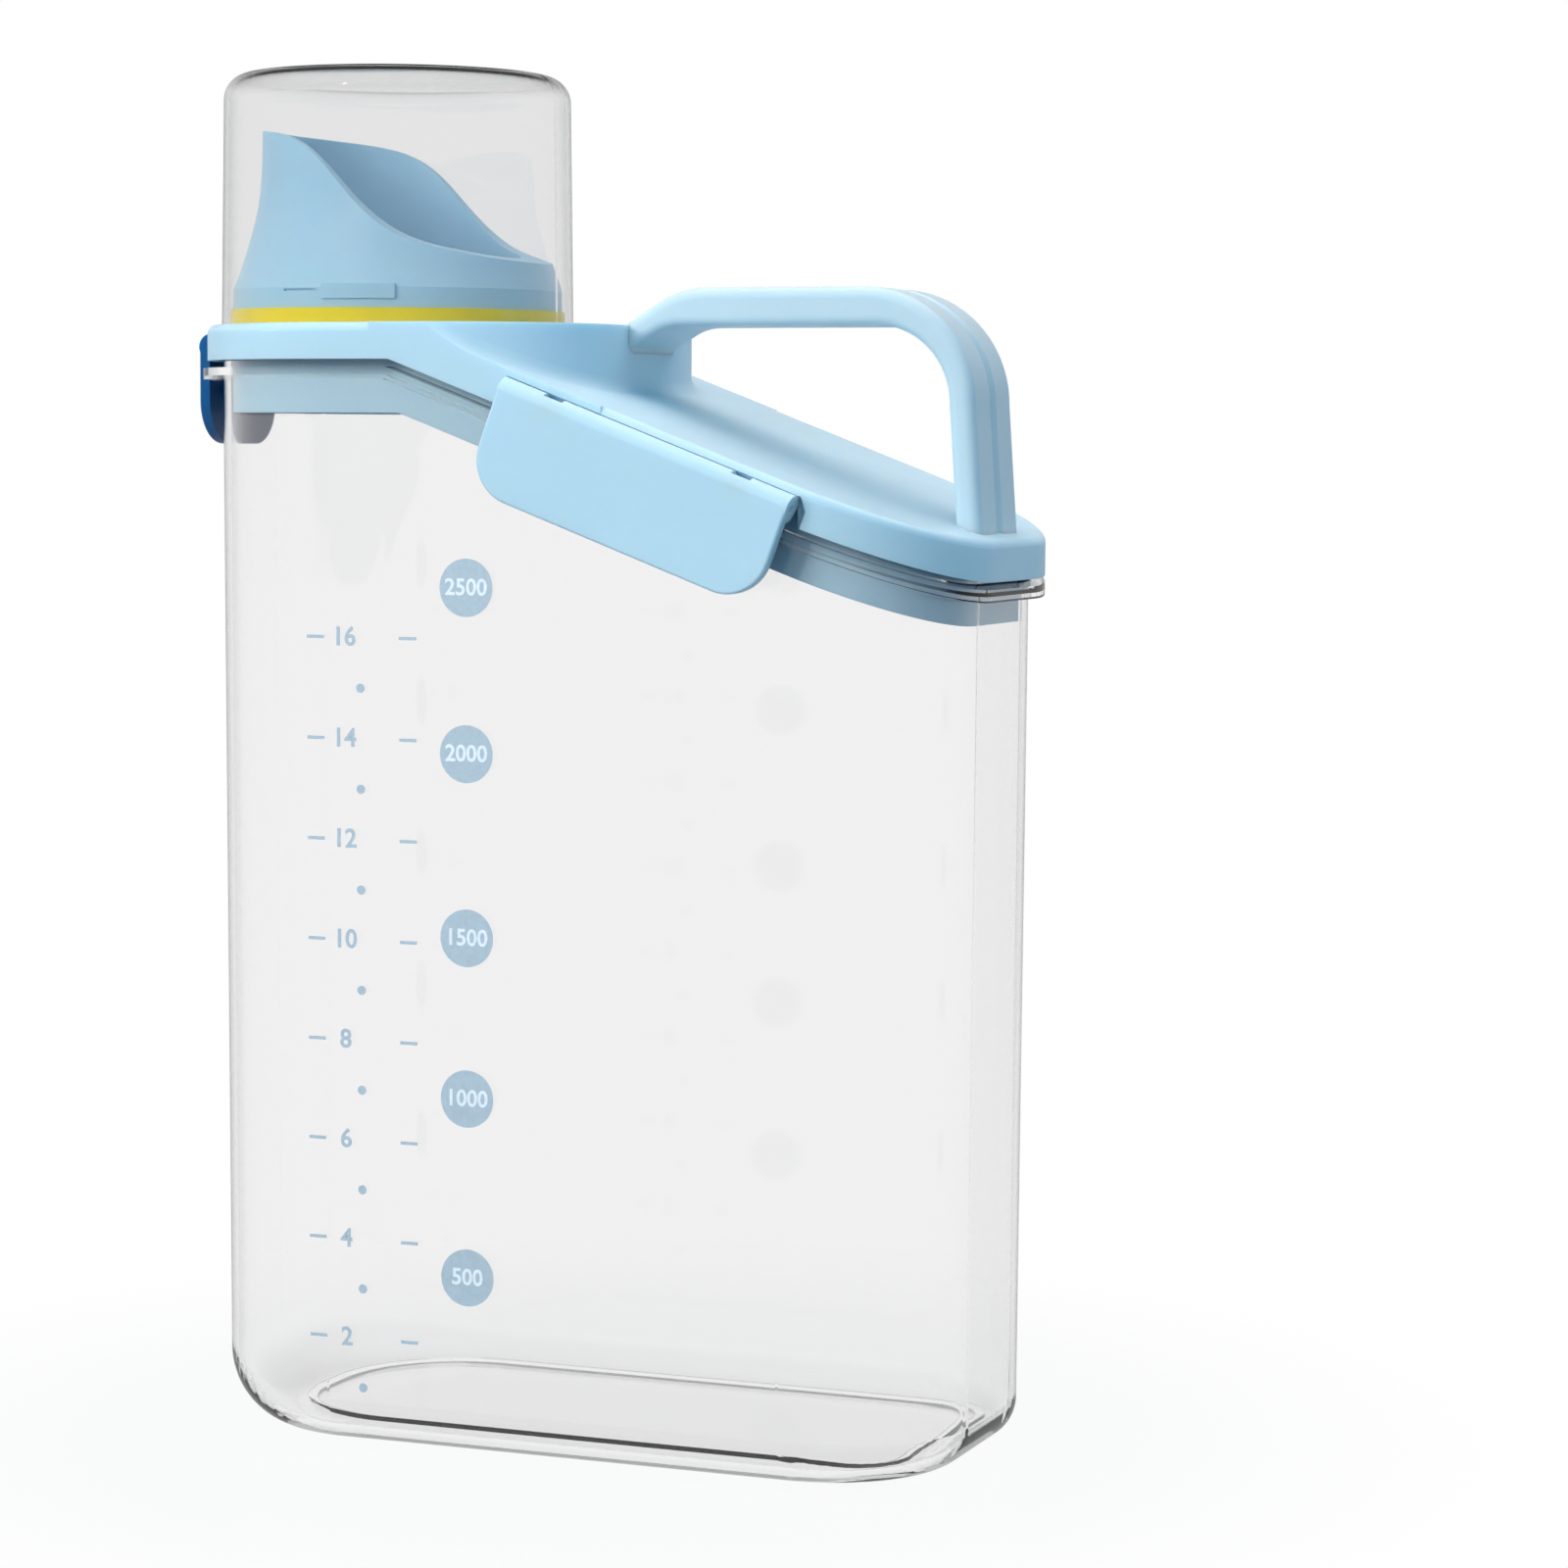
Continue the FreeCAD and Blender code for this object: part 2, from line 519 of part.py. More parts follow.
def latch_places():
    """Give each latch's name, its kind, the sign of its rear end and its hinge placement."""
    reach = value("bead_reach + hinge_outset")
    along = Rotation(Vector(0, 1, 0), value("slope"))
    rise = value("hinge_rise")
    middle = value("side_latch_from_bend + side_latch_length / 2")
    foot = Vector(value("bend_x"), 0, value("skirt_level"))
    centre = foot + along.multVec(Vector(middle, 0, rise))
    side_y = value("tank_width / 2") + reach
    front = Vector(-value("tank_length / 2") - reach, 0, value("skirt_level") + rise)
    turn = Rotation(Vector(0, 0, 1), 180)
    near_place = Placement(centre - Vector(0, side_y, 0), along)
    far_place = Placement(centre + Vector(0, side_y, 0), along.multiply(turn))
    front_place = Placement(front, Rotation(Vector(0, 0, 1), -90))
    return [
        ("side_latch_near", "side", "", near_place),
        ("side_latch_far", "side", "-", far_place),
        ("front_latch", "front", None, front_place),
    ]


def local_box(name, low, high, placement):
    """Make a box from formulas of its low and high corners, then place it."""
    box = doc.addObject("Part::Box", name)
    for prop, start, end in zip(("Length", "Width", "Height"), low, high):
        bind(box, **{prop: f"({end}) - ({start})"})
    corner = Vector(*(value(text) for text in low))
    box.Placement = placement.multiply(Placement(corner, Rotation()))
    return box


def local_rod(name, radius, length, middle_x, placement):
    """Make a rod along a latch's hinge line, centred on a point of it."""
    rod = doc.addObject("Part::Cylinder", name)
    bind(rod, Radius=radius, Height=length)
    start = Vector(value(middle_x) - value(length) / 2, 0, 0)
    rod.Placement = placement.multiply(Placement(start, Rotation(Vector(0, 1, 0), 90)))
    return rod


def latch_notch(name, kind, rear, place):
    """Cut-out of the lid's outer wall behind one latch, with a finger gap at its rear end."""
    half = f"{kind}_latch_length / 2"
    inside = "bead_reach - skirt_reach + hinge_outset + lid_wall + notch_clearance"
    box = local_box(f"{name}_notch_box", (f"-({half} + notch_gap)", "-spare", "-spare"),
                    (f"{half} + notch_gap", inside, "0"), place)
    rod = local_rod(f"{name}_notch_rod", "barrel_radius + barrel_gap",
                    f"2 * ({half} + notch_gap)", "0", place)
    cuts = [box, rod]
    if rear is not None:
        start = f"({rear}({half}))"
        step = f"({rear}({half} + notch_gap))"
        end = f"({rear}({half} + notch_gap_rear))"
        gap_line = polygon(f"{name}_gap_line", XZ, [
            (start, "-spare"), (end, "-spare"), (end, "barrel_radius - notch_slant"),
            (step, "barrel_radius"), (start, "barrel_radius")])
        gap = extrude(f"{name}_gap", gap_line, "2 * spare", Vector(0, 1, 0), both_ways=True)
        trim = local_box(f"{name}_gap_trim", (f"-({half} + spare)", "-spare", "-spare"),
                         (f"{half} + spare", inside, "barrel_radius"), place)
        gap.Placement = place
        cuts.append(combine("Common", f"{name}_finger_gap", gap, trim))
    return combine("MultiFuse", f"{name}_notch", *cuts)


def latch_lugs(name, kind, rear, place):
    """Two brackets under the lid's edge that hold one hinge pin."""
    inner = "bead_reach - lug_bite + hinge_outset"
    lugs = []
    for side, sign in (("a", "-"), ("b", "")):
        middle = f"({sign}{kind}_lug_spread / 2)"
        low = f"{middle} - lug_width / 2"
        high = f"{middle} + lug_width / 2"
        eye = local_rod(f"{name}_eye_{side}", "lug_radius", "lug_width", middle, place)
        arm = local_box(f"{name}_arm_{side}", (low, "0", "-lug_arm / 2"),
                        (high, inner, "lug_arm / 2"), place)
        leg = local_box(f"{name}_leg_{side}", (low, "barrel_radius + lug_back", "-lug_arm / 2"),
                        (high, inner, "skirt_rise - hinge_rise - lid_wall / 2"), place)
        bore = local_rod(f"{name}_bore_{side}", "pin_radius + pin_gap", "2 * lug_width",
                         middle, place)
        solid = combine("MultiFuse", f"{name}_lug_solid_{side}", eye, arm, leg)
        lugs.append(combine("Cut", f"{name}_lug_{side}", solid, bore))
    return lugs


def make_latch(name, kind, rear, place):
    """Latch: a plate with a rolled upper edge on its pin and a hook for the tank's lip."""
    length = f"{kind}_latch_length"
    home = Placement()
    plate = local_box(f"{name}_plate", (f"-{length} / 2", "-barrel_radius", "-latch_drop"),
                      (f"{length} / 2", "latch_thick - barrel_radius", "0"), home)
    doc.recompute()

    def lower_corner(edge):
        box = edge.BoundBox
        low = near(box.ZMax, -value("latch_drop"))
        return low and near(box.XLength, 0) and not near(box.YLength, 0)

    def outer_edge(edge):
        box = edge.BoundBox
        on_face = near(box.YMin, -value("barrel_radius")) and near(box.YMax, box.YMin)
        return on_face and box.ZMin < -value("latch_edge")

    cornered = round_edges(f"{name}_cornered", plate, "latch_corner", lower_corner)
    shaped = round_edges(f"{name}_shaped", cornered, "latch_edge", outer_edge)
    barrel = local_rod(f"{name}_barrel", "barrel_radius", length, "0", home)
    plate_in = "(latch_thick - barrel_radius)"
    hook_top = "-(hinge_rise + bead_drop + bead_thick + lip_drop + hook_gap)"
    hook_depth = f"(hook_reach - {plate_in})"
    hook_line = polygon(f"{name}_hook_line", YZ, [
        (f"{plate_in} - hook_root", f"{hook_top} + hook_root"),
        ("hook_reach", f"{hook_top} - {hook_depth}"),
        ("hook_reach", f"{hook_top} - {hook_depth} - hook_edge"),
        (f"{plate_in} - hook_root", f"{hook_top} - 4 * {hook_depth}"),
    ])
    hook = extrude(f"{name}_hook", hook_line, f"{kind}_hook_length", Vector(1, 0, 0),
                   both_ways=True)
    body = combine("MultiFuse", f"{name}_body", shaped, barrel, hook)
    cuts = [local_rod(f"{name}_bore", "pin_radius + pin_gap", f"{length} + spare", "0", home)]
    past = "2 * barrel_radius"
    for side, sign in (("a", "-"), ("b", "")):
        middle = f"({sign}{kind}_lug_spread / 2)"
        wide = "(lug_width + 2 * lug_gap)"
        low = f"{middle} - {wide} / 2"
        high = f"{middle} + {wide} / 2"
        cuts.append(local_rod(f"{name}_slot_{side}", "lug_radius + slot_gap", wide, middle, home))
        cuts.append(local_box(f"{name}_open_{side}", (low, "-slot_reach", "0"),
                              (high, past, past), home))
        cuts.append(local_box(f"{name}_under_{side}", (low, "0", "-slot_reach"),
                              (high, past, "0"), home))
    slots = combine("MultiFuse", f"{name}_slots", *cuts)
    latch = combine("Cut", f"{name}_cut", body, slots)
    shift = Placement(Vector(value("shift_x"), 0, 0), Rotation())
    finish(latch, name, shift.multiply(place))


def make_hinge_pin(name, kind, rear, place):
    """Steel pin that a latch turns on."""
    pin = local_rod(f"{name}_rod", "pin_radius", f"{kind}_latch_length - 2 * pin_inset", "0",
                    place)
    shift = Placement(Vector(value("shift_x"), 0, 0), Rotation())
    finish(pin, f"{name}_hinge_pin", shift.multiply(pin.Placement))


def make_lid_seal():
    """Soft seal in the channel between the collar and the outer wall, over the tank's rim."""
    ring = combine("Cut", "seal_ring", column("seal_out", "seal_overhang"),
                   column("seal_in", "-(wall + collar_gap - seal_inset)"))
    top = combine("Common", "seal_top", ring, below("seal_level", "skirt_rise - lid_wall"))
    seal = combine("Cut", "seal", top, below("seal_under", "skirt_rise - lid_wall - seal_thick"))
    finish(seal, "lid_seal")


def cone(name, low_radius, high_radius, height, level):
    """Make a cone on the scoop's axis from a level up."""
    solid = doc.addObject("Part::Cone", name)
    bind(solid, Radius1=low_radius, Radius2=high_radius, Height=height)
    bind(solid, **{"Placement.Base.x": "cup_x", "Placement.Base.z": level})
    return solid


def make_cup():
    """Clear measuring cup that stands upside down over the scoop."""
    seat = "top_level + cup_seat_gap"
    outside = cone("cup_outside", "cup_radius", "cup_top_radius", "cup_length", seat)
    top = value(f"{seat} + cup_length")
    outer = round_edges("cup_outer", outside, "cup_round",
                        lambda edge: near(edge.BoundBox.ZMin, top) and near(edge.BoundBox.ZMax, top))
    inside = cone("cup_inside", "cup_radius - cup_wall", "cup_top_radius - cup_wall",
                  "cup_length - cup_wall", seat)
    inner_top = value(f"{seat} + cup_length - cup_wall")
    inner = round_edges("cup_inner", inside, "cup_round - cup_wall",
                        lambda edge: near(edge.BoundBox.ZMin, inner_top)
                        and near(edge.BoundBox.ZMax, inner_top))
    finish(combine("Cut", "cup", outer, inner), "measuring_cup")


def make_ring_seal():
    """Yellow ring seal between the lid and the scoop's flange."""
    ring = cone("ring_outside", "ring_radius", "ring_radius", "ring_thick", "top_level")
    bore = cone("ring_bore", "neck_radius + neck_gap", "neck_radius + neck_gap", "ring_thick",
                "top_level")
    finish(combine("Cut", "ring", ring, bore), "spout_seal")


def turned(points):
    """Turn a profile of radius and height about the scoop's axis."""
    wire = Part.makePolygon([Vector(r, 0, z) for r, z in points])
    return Part.Face(wire).revolve(Vector(0, 0, 0), Vector(0, 0, 1), 360)


# Share of the scoop's rise, and the share of its taper that is left there.
FLARE = [(0.16, 0.68), (0.31, 0.43), (0.49, 0.18), (0.70, 0.05)]

# The scoop's rim from the side: the distance behind the axis as a share of the
# lower wall's radius, and the height as a share of the rim's rise.
RIM = [(-0.98, 1.02), (-0.55, 0.945), (-0.28, 0.86), (-0.11, 0.72), (0.05, 0.52),
       (0.22, 0.32), (0.41, 0.17), (0.66, 0.075), (0.90, 0.012), (1.10, -0.01)]


def scoop_body():
    """Turned body of the scoop with its flange, neck and snap bead."""
    lid_top = value("top_level")
    seat = value("top_level + ring_thick")
    flange = value("flange_radius")
    flange_top = seat + value("flange_thick")
    wide = value("collar_radius")
    straight = value("top_level + collar_straight")
    lip = value("lip_radius")
    lip_level = value("lip_level")
    wall = value("scoop_wall")
    neck = value("neck_radius")
    bore = value("neck_radius - neck_wall")
    foot = value("top_level - neck_drop")
    bead = value("neck_radius + snap_bead")
    bead_top = value("top_level - lid_wall - neck_gap")
    rise = lip_level - straight
    flare = Part.BSplineCurve()
    through = [Vector(wide, 0, straight)]
    for height, left in FLARE:
        through.append(Vector(lip + left * (wide - lip), 0, straight + height * rise))
    through.append(Vector(lip, 0, lip_level))
    flare.interpolate(Points=through)
    corners = [
        (lip, lip_level), (lip - wall, lip_level), (bore, flange_top), (bore, foot),
        (neck, foot), (bead, (foot + bead_top) / 2), (neck, bead_top), (neck, seat),
        (flange, seat), (flange, flange_top), (wide, flange_top), (wide, straight)]
    points = [Vector(r, 0, z) for r, z in corners]
    edges = [Part.LineSegment(a, b).toShape() for a, b in zip(points, points[1:])]
    profile = Part.Wire(edges + [flare.toShape()])
    body = Part.Face(profile).revolve(Vector(0, 0, 0), Vector(0, 0, 1), 360)
    core = turned([
        (neck, lid_top), (wide - wall, lid_top), (wide - wall, straight - wall),
        (neck + wall, straight + wall / 2), (neck, straight + wall / 2), (neck, lid_top)])
    return body.cut(core)


def snap_details(body):
    """Add the low snap tab and the slit beside it to both sides of the scoop."""
    wide = value("collar_radius")
    proud = value("tab_proud")
    low = value("top_level + tab_low")
    height = value("tab_height")
    slit = value("slit_height")
    slit_end = -value("slit_start")
    slit_length = value("slit_length")
    ring = Part.makeCylinder(wide + proud, height, Vector(0, 0, low))
    ring = ring.cut(Part.makeCylinder(wide - proud, height, Vector(0, 0, low)))
    span = Part.makeBox(value("tab_length"), 4 * wide, height, Vector(0, -2 * wide, low))
    body = body.fuse(ring.common(span))
    middle = low + height / 2
    span = Part.makeBox(slit_length, 4 * wide, slit, Vector(slit_end - slit_length, -2 * wide,
                                                            middle))
    return body.cut(span.cut(Part.makeCylinder(wide - proud, low + height)))


def make_scoop():
    """Pouring scoop: a turned body cut open along a swept rim, on a neck with a snap bead."""
    wide = value("collar_radius")
    low = value("collar_top")
    rise = value("lip_level - collar_top")
    side = -2 * wide
    rim = Part.BSplineCurve()
    rim.interpolate([Vector(run * wide, side, low + share * rise) for run, share in RIM])
    start = rim.StartPoint
    end = rim.EndPoint
    high = low + 2 * rise
    around = [
        Part.LineSegment(end, Vector(end.x, side, high)).toShape(),
        Part.LineSegment(Vector(end.x, side, high), Vector(start.x, side, high)).toShape(),
        Part.LineSegment(Vector(start.x, side, high), start).toShape(),
    ]
    above = Part.Face(Part.Wire([rim.toShape()] + around)).extrude(Vector(0, 4 * wide, 0))
    scoop = doc.addObject("Part::Feature", "scoop")
    scoop.Shape = snap_details(scoop_body().cut(above))
    place = Placement(Vector(value("shift_x") + value("cup_x"), 0, 0), Rotation())
    finish(scoop, "pour_spout", place)


def handle_profile():
    """Draw the handle from the side: grip, bend, rear leg and the root on the platform."""
    top = value("handle_top")
    under = top - value("handle_depth")
    wall_x = value("pad_rear")
    root_x = wall_x - value("root_lap")
    root_z = value("top_level")
    bend = value("handle_bend")
    leg_x = value("leg_outer_x")
    leg = value("leg_depth")
    lean = math.tan(math.radians(value("leg_lean")))
    rise = math.radians(value("root_rise"))
    root_bend = value("root_bend")
    hollow = value("root_hollow")
    depth = value("root_depth")
    fillet = value("root_fillet")
    meet = math.radians(value("root_meet"))
    knee_z = top - bend
    inner_x = leg_x - leg
    inner_bend = under - knee_z
    bend_level, level, far_x, far_level = (value(text) for text in lid_line("skirt_rise"))
    slope = math.tan(math.radians(value("slope")))

    def deck(x):
        return level - (x - bend_level) * slope

    def foot(x, z):
        """Follow the leaning leg down to the deck."""
        drop = (z - deck(x)) / (1 - slope * lean)
        return Vector(x + drop * lean, 0, z - drop)

    climb = top - root_z
    ease = root_bend * math.tan(rise / 2)
    level_x = root_x + climb / math.tan(rise) + ease
    ramp_end = Vector(level_x - ease - ease * math.cos(rise), 0, top - ease * math.sin(rise))
    crown = Vector(level_x, 0, top)
    ramp_middle = Vector(level_x - root_bend * math.sin(rise / 2), 0,
                         top - root_bend * (1 - math.cos(rise / 2)))
    quarter = math.sqrt(0.5)
    knee_x = leg_x - bend
    knee_middle = Vector(knee_x + bend * quarter, 0, knee_z + bend * quarter)
    inner_x_bend = inner_x - inner_bend
    inner_middle = Vector(inner_x_bend + inner_bend * quarter, 0, knee_z + inner_bend * quarter)
    lower_x = root_x + depth * math.sin(rise)
    lower_z = root_z - depth * math.cos(rise)
    under_x = lower_x + (under - lower_z) / math.tan(rise)
    turn = hollow * math.tan(rise / 2)
    under_start = Vector(under_x + turn, 0, under)
    under_end = Vector(under_x - turn * math.cos(rise), 0, under - turn * math.sin(rise))
    under_middle = Vector(under_x + turn - hollow * math.sin(rise / 2), 0,
                          under - hollow * (1 - math.cos(rise / 2)))
    fillet_x = wall_x + fillet * math.cos(meet)
    fillet_start_x = fillet_x - fillet * math.sin(rise)
    fillet_start = Vector(fillet_start_x, 0, lower_z + (fillet_start_x - lower_x) * math.tan(rise))
    fillet_z = fillet_start.z - fillet * math.cos(rise)
    halfway = (math.pi / 2 - rise + meet) / 2
    fillet_middle = Vector(fillet_x - fillet * math.cos(halfway), 0,
                           fillet_z + fillet * math.sin(halfway))
    wall_end = Vector(wall_x, 0, fillet_z + fillet * math.sin(meet))
    wall_top = Vector(wall_x, 0, root_z)
    outer_foot = foot(leg_x, knee_z)
    inner_foot = foot(inner_x, knee_z)
    outer = [
        Part.LineSegment(Vector(root_x, 0, root_z), ramp_end).toShape(),
        Part.Arc(ramp_end, ramp_middle, crown).toShape(),
        Part.LineSegment(crown, Vector(knee_x, 0, top)).toShape(),
        Part.Arc(Vector(knee_x, 0, top), knee_middle, Vector(leg_x, 0, knee_z)).toShape(),
        Part.LineSegment(Vector(leg_x, 0, knee_z), outer_foot).toShape(),
    ]
    inner = [
        Part.LineSegment(outer_foot, inner_foot).toShape(),
        Part.LineSegment(inner_foot, Vector(inner_x, 0, knee_z)).toShape(),
        Part.Arc(Vector(inner_x, 0, knee_z), inner_middle,
                 Vector(inner_x_bend, 0, under)).toShape(),
        Part.LineSegment(Vector(inner_x_bend, 0, under), under_start).toShape(),
        Part.Arc(under_start, under_middle, under_end).toShape(),
        Part.LineSegment(under_end, fillet_start).toShape(),
        Part.Arc(fillet_start, fillet_middle, wall_end).toShape(),
        Part.LineSegment(wall_end, wall_top).toShape(),
        Part.LineSegment(wall_top, Vector(root_x, 0, root_z)).toShape(),
    ]
    return outer, inner


def make_handle():
    """Carrying handle: one moulded strap from the platform to the rear of the lid."""
    outer, inner = handle_profile()
    half = value("handle_width") / 2
    face = Part.Face(Part.Wire(outer + inner))
    blank = face.extrude(Vector(0, 2 * half, 0))
    blank.translate(Vector(0, -half, 0))

    def along(edge, run):
        middle = edge.valueAt((edge.FirstParameter + edge.LastParameter) / 2)
        if not near(abs(middle.y), half):
            return False
        flat = Vector(middle.x, 0, middle.z)
        return any(part.distToShape(Part.Vertex(flat))[0] < 0.02 for part in run)

    outer_edges = [edge for edge in blank.Edges if along(edge, outer)]
    rounded = blank.makeFillet(value("handle_round"), outer_edges)
    grip = inner[1:7]
    inner_edges = [edge for edge in rounded.Edges if along(edge, grip)]
    rounded = rounded.makeFillet(value("handle_ease"), inner_edges)
    wide = value("groove_width") / 2
    deep = value("groove_depth")
    spine = Part.Wire(outer)
    start = outer[0].Vertexes[0].Point
    rise = math.radians(value("root_rise"))
    normal = Vector(-math.sin(rise), 0, math.cos(rise))
    side = Vector(0, wide, 0)
    corners = [start + side + normal, start - side + normal, start - side, start - normal * deep,
               start + side]
    section = Part.makePolygon(corners + [corners[0]])
    groove = spine.makePipeShell([section], True, True)
    shape = rounded.cut(groove)
    handle = doc.addObject("Part::Feature", "handle")
    handle.Shape = shape
    finish(handle, "carry_handle", Placement(Vector(value("shift_x"), 0, 0), Rotation()))


def check_and_write():
    """Stop on any failed object or bad solid, then write one file for each sub-part."""
    doc.recompute()
    for item in doc.Objects:
        states = [state for state in item.State if state in ("Invalid", "Error")]
        if states:
            raise RuntimeError(f"{item.Name} is {states}")
    os.makedirs("parts", exist_ok=True)
    for item in SUB_PARTS:
        shape = item.Shape
        if shape.isNull() or not shape.isValid():
            raise RuntimeError(f"{item.Label} has no valid shape")
        box = shape.BoundBox
        print(f"{item.Label:28s} solids {len(shape.Solids)} volume {shape.Volume:10.1f} "
              f"x {box.XMin:7.2f} {box.XMax:7.2f} y {box.YMin:7.2f} {box.YMax:7.2f} "
              f"z {box.ZMin:7.2f} {box.ZMax:7.2f}")
        shape.exportStep(f"parts/{item.Label}.step")


fill_sheet()
make_tank()
make_lid()
make_lid_seal()
make_handle()
for place in latch_places():
    make_latch(*place)
    make_hinge_pin(*place)
make_ring_seal()
make_scoop()
make_cup()
check_and_write()
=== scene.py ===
import math

import bmesh
import bpy
from mathutils import Matrix, Vector


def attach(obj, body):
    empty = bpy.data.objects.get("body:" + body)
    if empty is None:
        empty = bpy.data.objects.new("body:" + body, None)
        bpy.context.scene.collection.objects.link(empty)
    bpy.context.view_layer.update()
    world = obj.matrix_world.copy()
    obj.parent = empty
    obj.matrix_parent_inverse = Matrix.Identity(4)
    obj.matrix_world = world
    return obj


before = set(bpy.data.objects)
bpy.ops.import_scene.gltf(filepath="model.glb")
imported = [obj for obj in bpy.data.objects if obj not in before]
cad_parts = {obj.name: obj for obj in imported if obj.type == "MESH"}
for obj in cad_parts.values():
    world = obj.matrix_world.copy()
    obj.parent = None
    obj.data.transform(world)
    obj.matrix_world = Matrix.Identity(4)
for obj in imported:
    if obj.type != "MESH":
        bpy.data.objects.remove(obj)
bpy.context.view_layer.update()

# Camera.
# A long lens a little below the lid, turned to the near side of the container. Its place and
# its turns were fitted to the container's outlines.
MM = 0.001
PHOTO_WIDTH = 1600
FOCAL_PIXELS = 4407.0
SENSOR_MM = 36.0
CAMERA_PLACE = Vector((378.6, -860.3, 216.8)) * MM
CAMERA_TURN = math.radians(21.423)
CAMERA_PITCH = math.radians(4.62)
CAMERA_ROLL = math.radians(0.343)

camera_data = bpy.data.cameras.new("camera")
camera_data.sensor_width = SENSOR_MM
camera_data.lens = FOCAL_PIXELS / PHOTO_WIDTH * SENSOR_MM
camera = bpy.data.objects.new("camera", camera_data)
camera.matrix_world = (
    Matrix.Translation(CAMERA_PLACE)
    @ Matrix.Rotation(CAMERA_TURN, 4, "Z")
    @ Matrix.Rotation(math.pi / 2 - CAMERA_PITCH, 4, "X")
    @ Matrix.Rotation(CAMERA_ROLL, 4, "Z")
)
bpy.context.collection.objects.link(camera)
scene = bpy.context.scene
scene.camera = camera
scene.view_settings.view_transform = "Standard"

# Lamps.
# Wide warm lamps stand at the left, above, behind and, weakly, at the right, and none of them
# shows in gloss. One small lamp does, as a glint on the clear walls.
WARM_WHITE = (1.0, 0.935, 0.875)
SUN_WHITE = (1.0, 0.78, 0.67)
UPPER_TANK = (0, 0, 0.2)
REAR_OF_TANK = (0.05, 0, 0.2)
SCOOP_LEVEL = (0, 0, 0.25)


def soft_lamp(name, place, target, size, watts, colour=(1.0, 1.0, 1.0), mirrored=False):
    """Hang a round lamp that points at a target and shows in gloss only if it is mirrored."""
    data = bpy.data.lights.new(name, "AREA")
    data.shape = "DISK"
    data.size = size
    data.energy = watts
    data.color = colour
    lamp = bpy.data.objects.new(name, data)
    place = Vector(place)
    aim = (Vector(target) - place).to_track_quat("-Z", "Y")
    lamp.matrix_world = Matrix.Translation(place) @ aim.to_matrix().to_4x4()
    lamp.visible_glossy = mirrored
    lamp.visible_transmission = mirrored
    bpy.context.collection.objects.link(lamp)


soft_lamp("key_lamp", place=(-0.75, -1.35, 0.80), target=UPPER_TANK, size=0.8, watts=18.0,
          colour=WARM_WHITE)
soft_lamp("top_lamp", place=(-0.30, -0.50, 1.6), target=UPPER_TANK, size=1.3, watts=7.0,
          colour=SUN_WHITE)
soft_lamp("rear_lamp", place=(0.1, 0.55, 1.5), target=UPPER_TANK, size=1.7, watts=26.0,
          colour=SUN_WHITE)
soft_lamp("fill_lamp", place=(1.0, -0.9, 0.5), target=REAR_OF_TANK, size=0.8, watts=2.5,
          colour=WARM_WHITE)
soft_lamp("spark_lamp", place=(-0.35, -1.6, 1.1), target=SCOOP_LEVEL, size=0.05, watts=3.0,
          mirrored=True)

# Room.
# A white studio, seen straight or through clear plastic. It dims towards the ceiling and where
# it is mirrored, and the light that it throws on matt surfaces is a weaker, cool blue.
SEEN_WHITE = (1.0, 1.0, 1.0, 1.0)
ROOM_LIGHT = (0.20, 0.66, 1.0, 1.0)
ROOM_STRENGTH = 0.60
CEILING_START = 0.10
CEILING_END = 0.55
CEILING_GREY = 0.04
MIRROR_LOSS = 0.45
HALF_A_BOUNCE = 0.5


def feed(tree, value, socket):
    """Link a socket to another node's output, or give it a fixed value."""
    if isinstance(value, bpy.types.NodeSocket):
        tree.links.new(value, socket)
    else:
        socket.default_value = value


def reckon(tree, operation, *values):
    """Work out a number with a Math node."""
    node = tree.nodes.new("ShaderNodeMath")
    node.operation = operation
    for socket, value in zip(node.inputs, values):
        feed(tree, value, socket)
    return node.outputs[0]


def graded(tree, value, start, end, low, high, smooth=False):
    """Turn a value that runs from start to end into one that runs from low to high."""
    node = tree.nodes.new("ShaderNodeMapRange")
    if smooth:
        node.interpolation_type = "SMOOTHSTEP"
    node.inputs["From Min"].default_value = start
    node.inputs["From Max"].default_value = end
    node.inputs["To Min"].default_value = low
    node.inputs["To Max"].default_value = high
    tree.links.new(value, node.inputs["Value"])
    return node.outputs["Result"]


def mixed(tree, share, first, second):
    """Mix two shaders, with the given share of the second."""
    node = tree.nodes.new("ShaderNodeMixShader")
    for socket, source in zip(node.inputs, (share, first, second)):
        tree.links.new(source, socket)
    return node.outputs[0]


def straight_share(tree, path):
    """Give 1 to rays that come from the camera with no matt surface on the way, else 0."""
    share = path.outputs["Is Camera Ray"]
    for kind in ("Is Glossy Ray", "Is Transmission Ray"):
        share = reckon(tree, "MAXIMUM", share, path.outputs[kind])
    direct = reckon(tree, "LESS_THAN", path.outputs["Diffuse Depth"], HALF_A_BOUNCE)
    return reckon(tree, "MULTIPLY", share, direct)


def mirror_level(tree, path):
    """Give the strength of the white room: full, but dimmer where it is mirrored."""
    mirrored = reckon(tree, "GREATER_THAN", path.outputs["Is Glossy Ray"],
                      path.outputs["Is Transmission Ray"])
    return reckon(tree, "MULTIPLY_ADD", mirrored, -MIRROR_LOSS, 1.0)


